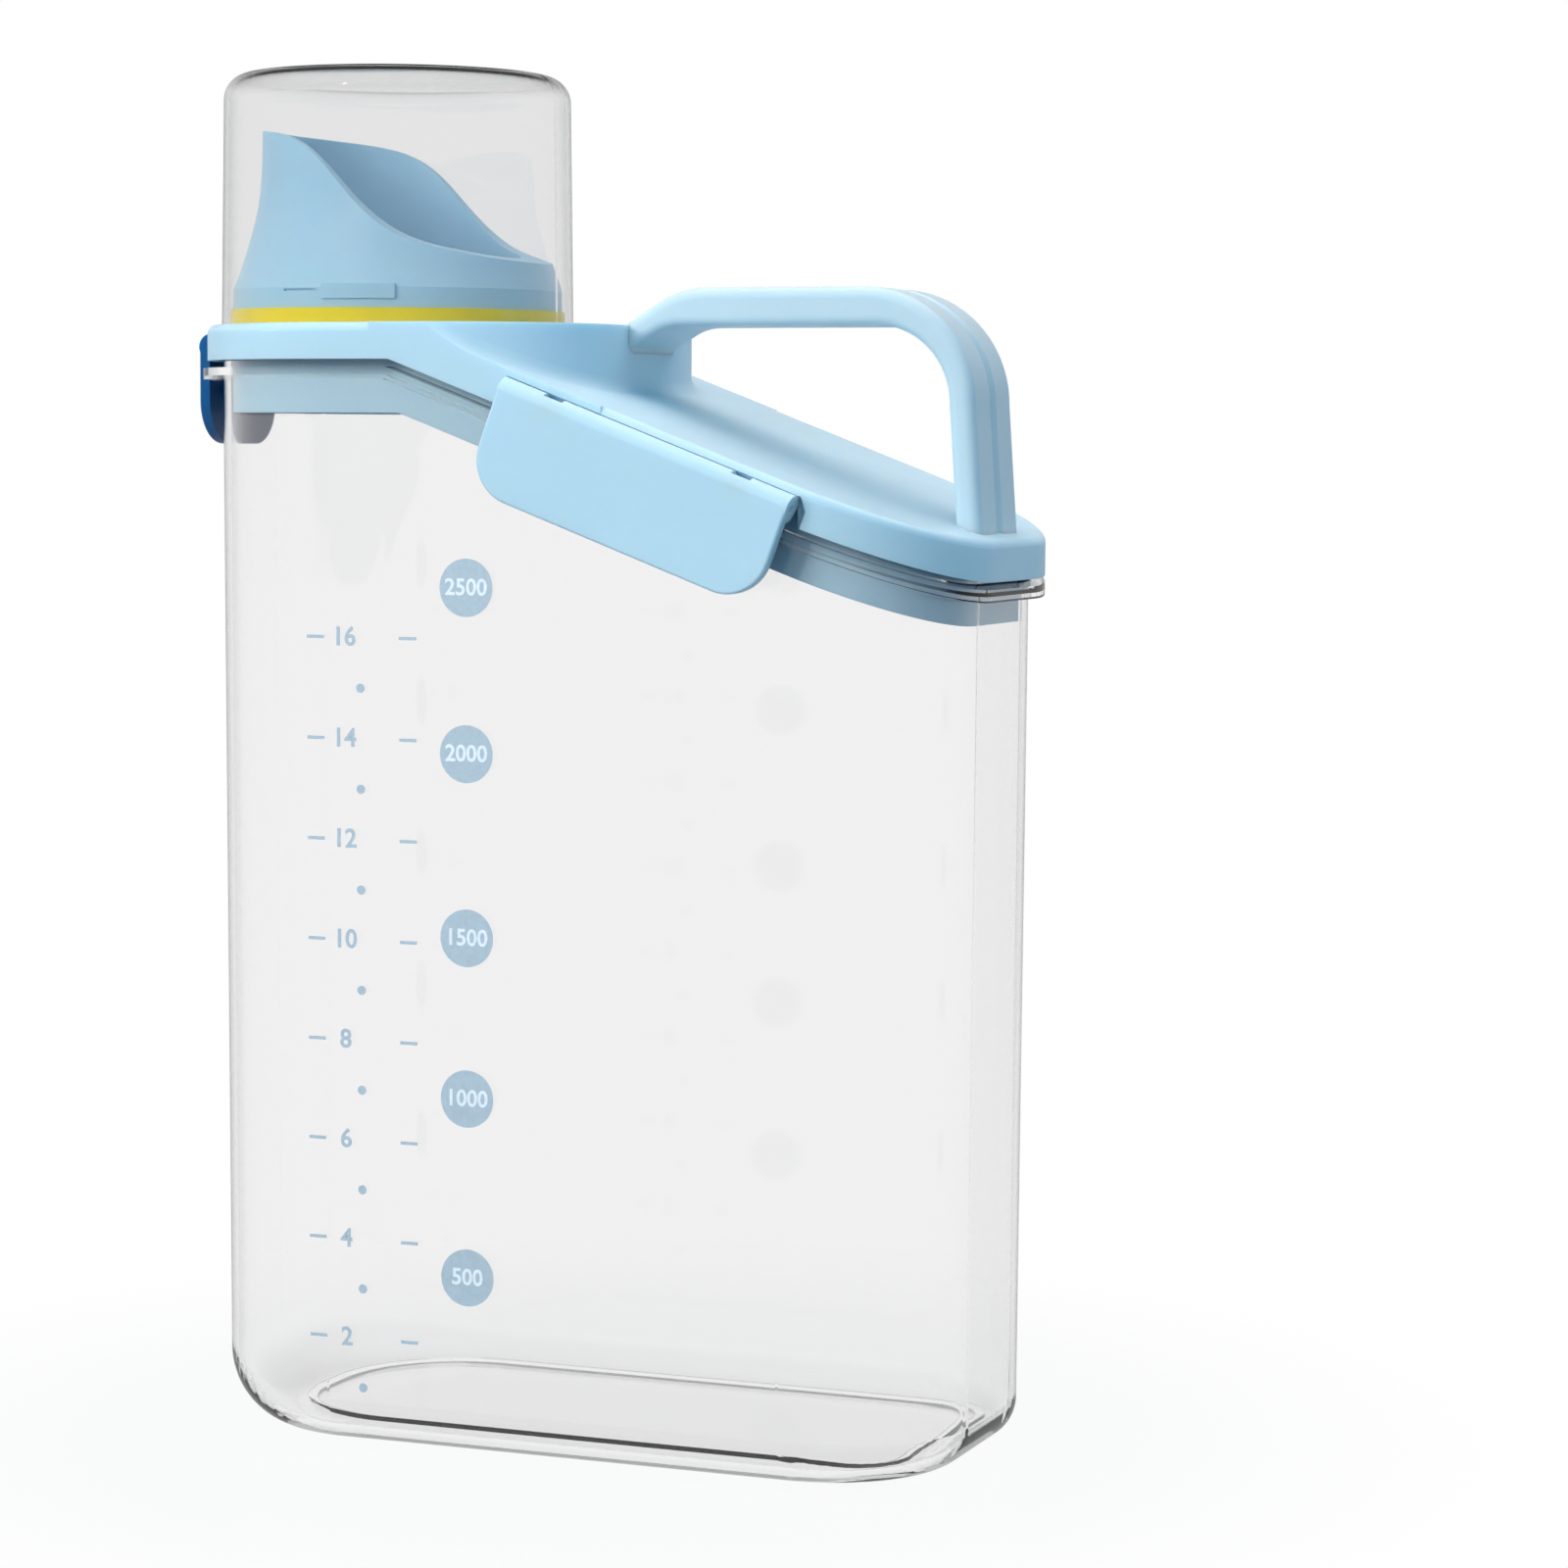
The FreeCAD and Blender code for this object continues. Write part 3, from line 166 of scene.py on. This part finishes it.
world = bpy.data.worlds.new("studio")
scene.world = world
world.use_nodes = True
tree = world.node_tree
tree.nodes.clear()
path = tree.nodes.new("ShaderNodeLightPath")
room = tree.nodes.new("ShaderNodeBackground")
room.inputs["Color"].default_value = ROOM_LIGHT
room.inputs["Strength"].default_value = ROOM_STRENGTH
direction = tree.nodes.new("ShaderNodeTexCoord")
axes = tree.nodes.new("ShaderNodeSeparateXYZ")
tree.links.new(direction.outputs["Generated"], axes.inputs[0])
ceiling = graded(tree, axes.outputs["Z"], CEILING_START, CEILING_END, 1.0, CEILING_GREY, smooth=True)
dimmed = reckon(tree, "MULTIPLY", ceiling, mirror_level(tree, path))
seen = tree.nodes.new("ShaderNodeBackground")
seen.inputs["Color"].default_value = SEEN_WHITE
tree.links.new(reckon(tree, "MAXIMUM", dimmed, path.outputs["Is Camera Ray"]), seen.inputs["Strength"])
whole_room = mixed(tree, straight_share(tree, path), room.outputs[0], seen.outputs[0])
world_out = tree.nodes.new("ShaderNodeOutputWorld")
tree.links.new(whole_room, world_out.inputs["Surface"])

# Floor.
# A sheet of smooth pale grey card. It fades to plain white away from the container, so that only
# a soft shadow and a faint reflection close to it stay.
FLOOR_HALF = 6.0
FLOOR_GREY = (0.20, 0.25, 0.30, 1.0)
FLOOR_ROUGHNESS = 0.12
NEAR_SHARE = 0.93
NEAR_REACH = 0.09
FAR_REACH = 0.22


def fresh_material(name):
    """Start a material and give it back with its nodes and its main shader."""
    material = bpy.data.materials.new(name)
    material.use_nodes = True
    tree = material.node_tree
    return material, tree, tree.nodes["Principled BSDF"]


def cover(tree, surface):
    """Use a shader as the surface of its material."""
    tree.links.new(surface, tree.nodes["Material Output"].inputs["Surface"])


floor_mesh = bpy.data.meshes.new("floor")
bm = bmesh.new()
bmesh.ops.create_grid(bm, x_segments=1, y_segments=1, size=FLOOR_HALF)
bm.to_mesh(floor_mesh)
bm.free()
floor = bpy.data.objects.new("floor", floor_mesh)
bpy.context.collection.objects.link(floor)
floor_paint, tree, card = fresh_material("white_sweep")
card.inputs["Base Color"].default_value = FLOOR_GREY
card.inputs["Roughness"].default_value = FLOOR_ROUGHNESS
path = tree.nodes.new("ShaderNodeLightPath")
lit = tree.nodes.new("ShaderNodeEmission")
lit.inputs["Color"].default_value = SEEN_WHITE
tree.links.new(mirror_level(tree, path), lit.inputs["Strength"])
where = tree.nodes.new("ShaderNodeTexCoord")
away = tree.nodes.new("ShaderNodeVectorMath")
away.operation = "LENGTH"
tree.links.new(where.outputs["Object"], away.inputs[0])
fade = graded(tree, away.outputs["Value"], NEAR_REACH, FAR_REACH, NEAR_SHARE, 1.0, smooth=True)
white_share = reckon(tree, "MULTIPLY", straight_share(tree, path), fade)
cover(tree, mixed(tree, white_share, card.outputs[0], lit.outputs[0]))
floor_mesh.materials.append(floor_paint)


# Tank.
# One clear injection moulding with a bead round it below the lid, from which a small lip hangs.
# The wall is glossy, a little wavy, and finely scuffed by handling.
SKIM_START = 0.55
LEVEL_FACE = 0.6
NOISE_LOW = 0.3
NOISE_HIGH = 0.7
MIX_SHARE = 0
MIX_FIRST_COLOUR = 6
MIX_SECOND_COLOUR = 7
MIX_COLOUR = 2
SCUFFS = {"scale": 260.0, "detail": 5.0, "stretch": (1, 1, 0.25)}
SCUFFED_ROUGHNESS = (0.01, 0.045)
WAVES = {"scale": 22.0, "detail": 1.0}
WAVE_STRENGTH = 0.05
WAVE_HEIGHT = 0.3 * MM


def noise(tree, scale, detail, stretch=(1, 1, 1)):
    """Add a noise pattern that is fixed to the piece."""
    place = tree.nodes.new("ShaderNodeTexCoord")
    turn = tree.nodes.new("ShaderNodeMapping")
    turn.inputs["Scale"].default_value = stretch
    tree.links.new(place.outputs["Object"], turn.inputs["Vector"])
    pattern = tree.nodes.new("ShaderNodeTexNoise")
    pattern.inputs["Scale"].default_value = scale
    pattern.inputs["Detail"].default_value = detail
    tree.links.new(turn.outputs["Vector"], pattern.inputs["Vector"])
    return pattern.outputs["Fac"]


def spread(tree, pattern, low, high):
    """Stretch a noise pattern's values to run from low to high."""
    return graded(tree, pattern, NOISE_LOW, NOISE_HIGH, low, high)


def colour_mix(tree, share, first, second):
    """Go from one colour to another by a share that varies over the surface."""
    node = tree.nodes.new("ShaderNodeMix")
    node.data_type = "RGBA"
    tree.links.new(share, node.inputs[MIX_SHARE])
    node.inputs[MIX_FIRST_COLOUR].default_value = first
    node.inputs[MIX_SECOND_COLOUR].default_value = second
    return node.outputs[MIX_COLOUR]


def bump(tree, pattern, strength, height, shader):
    """Raise the surface of a shader by a noise pattern."""
    node = tree.nodes.new("ShaderNodeBump")
    node.inputs["Strength"].default_value = strength
    node.inputs["Distance"].default_value = height
    tree.links.new(pattern, node.inputs["Height"])
    tree.links.new(node.outputs["Normal"], shader.inputs["Normal"])


def clear_plastic(name, tint, skim_shade, film, bend):
    """Clear plastic with fine scuffs, with painted shade in its colour where the eye skims along its
    wall.
    """
    material, tree, shader = fresh_material(name)
    # Painted shade: the colour darkens towards the skim shade where the eye skims along an upright
    # wall.
    skim = tree.nodes.new("ShaderNodeLayerWeight")
    edge = graded(tree, skim.outputs["Facing"], SKIM_START, 1.0, 0.0, 1.0, smooth=True)
    shape = tree.nodes.new("ShaderNodeNewGeometry")
    axes = tree.nodes.new("ShaderNodeSeparateXYZ")
    tree.links.new(shape.outputs["Normal"], axes.inputs[0])
    level = reckon(tree, "ABSOLUTE", axes.outputs["Z"])
    upright = graded(tree, level, 0.0, LEVEL_FACE, 1.0, 0.0)
    share = reckon(tree, "MULTIPLY", edge, upright)
    tree.links.new(colour_mix(tree, share, tint, skim_shade), shader.inputs["Base Color"])
    shader.inputs["Transmission Weight"].default_value = 1.0
    shader.inputs["IOR"].default_value = bend
    scuffs = spread(tree, noise(tree, **SCUFFS), *SCUFFED_ROUGHNESS)
    tree.links.new(scuffs, shader.inputs["Roughness"])
    bump(tree, noise(tree, **WAVES), WAVE_STRENGTH, WAVE_HEIGHT, shader)
    clear = tree.nodes.new("ShaderNodeBsdfTransparent")
    clear.inputs["Color"].default_value = film
    path = tree.nodes.new("ShaderNodeLightPath")
    cover(tree, mixed(tree, path.outputs["Is Shadow Ray"], shader.outputs[0], clear.outputs[0]))
    return material


def dress(node, material):
    """Give a carried-over part its finish."""
    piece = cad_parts[node]
    for slot in piece.material_slots:
        slot.material = material
    if not piece.material_slots:
        piece.data.materials.append(material)


TANK_TINT = (0.94, 0.94, 0.94, 1.0)
# Painted shade: the grey that the tank's wall is given where the eye skims along it.
TANK_SKIM_SHADE = (0.74, 0.75, 0.76, 1.0)
TANK_FILM = (0.98, 0.98, 0.985, 1.0)
TANK_BEND = 1.38
dress("tank", clear_plastic("tank_plastic", TANK_TINT, TANK_SKIM_SHADE, TANK_FILM, TANK_BEND))


# Volume marks.
# Pad-printed on the near wall in a pale blue-grey ink: five discs with the numbers over them in
# white, and a finer scale with dashes and dots. The wall leans by the mould's draft.
INK_DEPTH = 0.05 * MM
ON_WALL = INK_DEPTH / 4
ON_DISC = INK_DEPTH * 1.2
WALL_DRAFT = math.radians(0.275)
TANK_HALF_WIDTH = 45.8 * MM
SKIRT_LEVEL = 232.15 * MM
FRAME_SHIFT = 0.9 * MM
INK_GRAIN = {"scale": 900.0, "detail": 3.0}
INK_PALE = 1.12
INK_ROUGHNESS = (0.42, 0.58)


def shaded(colour, factor):
    """Make a colour lighter or darker by a factor."""
    return tuple(min(1.0, part * factor) for part in colour[:3]) + (1.0,)


def ink(name, colour):
    """Thin printed ink, a little uneven where the pad pressed it on."""
    material, tree, shader = fresh_material(name)
    grain = noise(tree, **INK_GRAIN)
    shades = colour_mix(tree, spread(tree, grain, 0.0, 1.0), colour, shaded(colour, INK_PALE))
    tree.links.new(shades, shader.inputs["Base Color"])
    tree.links.new(spread(tree, grain, *INK_ROUGHNESS), shader.inputs["Roughness"])
    return material


BLUE_INK = ink("blue_grey_ink", (0.44, 0.52, 0.57, 1.0))
WHITE_INK = ink("white_ink", (0.80, 0.84, 0.87, 1.0))


def wall_place(x, z, proud):
    """Give the matrix that lays a flat mark on the near wall, centred at x and z."""
    lean = math.tan(WALL_DRAFT)
    depth = TANK_HALF_WIDTH - (SKIRT_LEVEL - z) * lean + proud
    return (
        Matrix.Translation((x + FRAME_SHIFT, -depth, z))
        @ Matrix.Rotation(math.pi / 2 + WALL_DRAFT, 4, "X")
    )


def lay_marks(name, bm, material):
    """Finish a group of printed marks as one piece that rides on the tank."""
    mesh = bpy.data.meshes.new(name)
    bm.to_mesh(mesh)
    bm.free()
    piece = bpy.data.objects.new(name, mesh)
    bpy.context.collection.objects.link(piece)
    mesh.materials.append(material)
    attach(piece, "tank")


def above(place):
    """Move a place out from the wall by half the depth of the ink."""
    return place @ Matrix.Translation((0, 0, INK_DEPTH / 2))


def add_spot(bm, radius, segments, place):
    """Add a round printed spot, as thick as the ink."""
    bmesh.ops.create_cone(bm, cap_ends=True, segments=segments, radius1=radius, radius2=radius,
                          depth=INK_DEPTH, matrix=above(place))


BOLDNESS = 0.022
NUMBER_CURVE_STEPS = 4


def add_number(bm, count, size, place):
    """Add a printed number, centred on its place."""
    curve = bpy.data.curves.new("number", "FONT")
    curve.body = str(count)
    curve.size = size
    curve.align_x = "CENTER"
    curve.align_y = "CENTER"
    curve.resolution_u = NUMBER_CURVE_STEPS
    curve.extrude = INK_DEPTH / 2
    curve.offset = size * BOLDNESS
    stand_in = bpy.data.objects.new("number", curve)
    bpy.context.collection.objects.link(stand_in)
    mesh = bpy.data.meshes.new_from_object(stand_in)
    bpy.data.objects.remove(stand_in)
    mesh.transform(above(place))
    bm.from_mesh(mesh)


DISC_X = -13.5 * MM
DISC_RADIUS = 6.1 * MM
DISC_SEGMENTS = 48
DISC_NUMBER = 4.9 * MM
DISC_LEVELS = {2500: 184.6, 2000: 149.8, 1500: 111.0, 1000: 76.9, 500: 38.7}
discs = bmesh.new()
disc_numbers = bmesh.new()
for volume, level in DISC_LEVELS.items():
    add_spot(discs, DISC_RADIUS, DISC_SEGMENTS, wall_place(DISC_X, level * MM, ON_WALL))
    add_number(disc_numbers, volume, DISC_NUMBER, wall_place(DISC_X, level * MM, ON_DISC))
lay_marks("volume_discs", discs, BLUE_INK)
lay_marks("volume_numbers", disc_numbers, WHITE_INK)

SCALE_X = -42.0 * MM
SCALE_TOP = 173.7 * MM
SCALE_STEP = 21.43 * MM
SCALE_NUMBER = 5.6 * MM
SCALE_COUNTS = range(16, 0, -2)
DASH_PLACES = (-48.8 * MM, -27.1 * MM)
DASH_LENGTH = 4.0 * MM
DASH_HEIGHT = 0.7 * MM
DASH_SIZE = Matrix.Diagonal((DASH_LENGTH, DASH_HEIGHT, INK_DEPTH, 1.0))
DOT_X = -38.2 * MM
DOT_RADIUS = 1.0 * MM
DOT_SEGMENTS = 24
scale = bmesh.new()
for row, count in enumerate(SCALE_COUNTS):
    level = SCALE_TOP - row * SCALE_STEP
    add_number(scale, count, SCALE_NUMBER, wall_place(SCALE_X, level, ON_WALL))
    for dash_x in DASH_PLACES:
        bmesh.ops.create_cube(scale, matrix=above(wall_place(dash_x, level, ON_WALL)) @ DASH_SIZE)
    add_spot(scale, DOT_RADIUS, DOT_SEGMENTS, wall_place(DOT_X, level - SCALE_STEP / 2, ON_WALL))
lay_marks("cup_scale", scale, BLUE_INK)


# Lid seal.
# A ring of soft white silicone that lies over the tank's rim, in the lid's channel, and is
# pressed down by the latches. Silicone is cast matt and picks up a little dust.
MOTTLE = {"scale": 120.0, "detail": 4.0}
SILICONE_ROUGHNESS = (0.38, 0.52)
SILICONE_GRAIN = {"scale": 2500.0, "detail": 2.0}
SILICONE_GRAIN_STRENGTH = 0.2
SILICONE_GRAIN_HEIGHT = 0.03 * MM
SILICONE_SHINE = 0.2


def silicone(name, colour, dark):
    """Matt silicone with faint dusty mottling."""
    material, tree, shader = fresh_material(name)
    mottle = noise(tree, **MOTTLE)
    shades = colour_mix(tree, spread(tree, mottle, 0.0, 1.0), colour, dark)
    tree.links.new(shades, shader.inputs["Base Color"])
    tree.links.new(spread(tree, mottle, *SILICONE_ROUGHNESS), shader.inputs["Roughness"])
    grain = noise(tree, **SILICONE_GRAIN)
    bump(tree, grain, SILICONE_GRAIN_STRENGTH, SILICONE_GRAIN_HEIGHT, shader)
    shader.inputs["Specular IOR Level"].default_value = SILICONE_SHINE
    return material


CHALK_WHITE = (0.80, 0.80, 0.78, 1.0)
DUSTY_WHITE = (0.74, 0.74, 0.72, 1.0)
dress("lid_seal", silicone("white_silicone", CHALK_WHITE, DUSTY_WHITE))


# Lid shell.
# Light blue moulded plastic with a satin face. The deck slopes to the rear from a raised
# platform that carries the scoop and the front of the handle.
FLOW = {"scale": 14.0, "detail": 3.0}
FLOW_DARK = 0.965
FLOW_PALE = 1.03
WEAR = {"scale": 90.0, "detail": 6.0}
WEAR_POLISH = 0.05
WEAR_DULL = 0.06
TOOL_GRAIN = {"scale": 3200.0, "detail": 2.0}
TOOL_GRAIN_STRENGTH = 0.12
TOOL_GRAIN_HEIGHT = 0.02 * MM
PLASTIC_BEND = 1.48
PLASTIC_SHINE = 0.35
GLOW_SHARE = 0.35
GLOW_COLOUR = (0.35, 0.7, 1.0)
GLOW_DEPTH = 5.0 * MM


def moulded(name, colour, roughness):
    """Satin moulded plastic with faint flow shading and a fine tooled grain."""
    material, tree, shader = fresh_material(name)
    flow = spread(tree, noise(tree, **FLOW), 0.0, 1.0)
    shades = colour_mix(tree, flow, shaded(colour, FLOW_DARK), shaded(colour, FLOW_PALE))
    tree.links.new(shades, shader.inputs["Base Color"])
    worn = spread(tree, noise(tree, **WEAR), roughness - WEAR_POLISH, roughness + WEAR_DULL)
    tree.links.new(worn, shader.inputs["Roughness"])
    bump(tree, noise(tree, **TOOL_GRAIN), TOOL_GRAIN_STRENGTH, TOOL_GRAIN_HEIGHT, shader)
    shader.inputs["IOR"].default_value = PLASTIC_BEND
    shader.inputs["Specular IOR Level"].default_value = PLASTIC_SHINE
    shader.inputs["Subsurface Weight"].default_value = GLOW_SHARE
    shader.inputs["Subsurface Radius"].default_value = GLOW_COLOUR
    shader.inputs["Subsurface Scale"].default_value = GLOW_DEPTH
    return material


SKY_BLUE = (0.49, 0.68, 0.78, 1.0)
LID_ROUGHNESS = 0.36
dress("lid_shell", moulded("lid_plastic", SKY_BLUE, LID_ROUGHNESS))


# Carrying handle.
# One moulded strap of the same plastic, joined to the platform and to the rear of the deck. A
# shallow V groove runs along its outer face.
# Painted light: the strap's paler, greyer blue stands in for the top light and sheen that fall on it.
HANDLE_PAINTED_LIGHT_BLUE = (0.53, 0.66, 0.71, 1.0)
HANDLE_ROUGHNESS = 0.34
dress("carry_handle", moulded("handle_painted_light_plastic", HANDLE_PAINTED_LIGHT_BLUE, HANDLE_ROUGHNESS))


# Latches and their pins.
# A large plate on each side and a small one at the front. Each has a rolled upper edge that turns
# on a steel pin in the lid's lugs, and a hook that snaps under the tank's lip.
# Painted shade: the front latch is the same plastic as the side latches, and its deep blue stands in
# for the shade on its inner face.
PAINTED_SHADE_BLUE = (0.002, 0.09, 0.25, 1.0)
LATCH_ROUGHNESS = 0.33
SIDE_LATCH_PLASTIC = moulded("latch_plastic", SKY_BLUE, LATCH_ROUGHNESS)
FRONT_LATCH_PAINTED_SHADE = moulded("front_latch_painted_shade", PAINTED_SHADE_BLUE, LATCH_ROUGHNESS)
STEEL = (0.62, 0.62, 0.64, 1.0)
DRAWN = {"scale": 800.0, "detail": 3.0, "stretch": (0.1, 1, 1)}
STEEL_ROUGHNESS = (0.2, 0.4)

pin_steel, tree, shader = fresh_material("pin_steel")
shader.inputs["Base Color"].default_value = STEEL
shader.inputs["Metallic"].default_value = 1.0
tree.links.new(spread(tree, noise(tree, **DRAWN), *STEEL_ROUGHNESS), shader.inputs["Roughness"])

LATCHES = {
    "side_latch_near": SIDE_LATCH_PLASTIC,
    "side_latch_far": SIDE_LATCH_PLASTIC,
    "front_latch": FRONT_LATCH_PAINTED_SHADE,
}
for latch, plastic in LATCHES.items():
    dress(latch, plastic)
    dress(f"{latch}_hinge_pin", pin_steel)


# Ring seal and pouring scoop.
# The ring of yellow silicone seals the scoop's flange to the lid. The scoop is moulded in the same
# blue plastic, and its neck snaps into the hole of the lid. Its deeper blue is painted shade.
YELLOW = (0.95, 0.72, 0.002, 1.0)
DEEP_YELLOW = (0.90, 0.66, 0.002, 1.0)
# Painted shade: the scoop's deeper blue stands in for the shade that falls on its walls.
SCOOP_PAINTED_SHADE_BLUE = (0.39, 0.62, 0.76, 1.0)
dress("spout_seal", silicone("yellow_silicone", YELLOW, DEEP_YELLOW))
dress("pour_spout", moulded("spout_painted_shade_plastic", SCOOP_PAINTED_SHADE_BLUE, LID_ROUGHNESS))


# Measuring cup.
# A clear, faintly smoky moulding, closed at the top with a rounded edge. It stands upside down
# over the scoop.
CUP_TINT = (0.885, 0.885, 0.885, 1.0)
# Painted shade: the dark grey that the cup's wall is given where the eye skims along it.
CUP_SKIM_SHADE = (0.52, 0.54, 0.55, 1.0)
CUP_FILM = (0.98, 0.98, 0.98, 1.0)
CUP_BEND = 1.46
dress("measuring_cup", clear_plastic("cup_plastic", CUP_TINT, CUP_SKIM_SHADE, CUP_FILM, CUP_BEND))
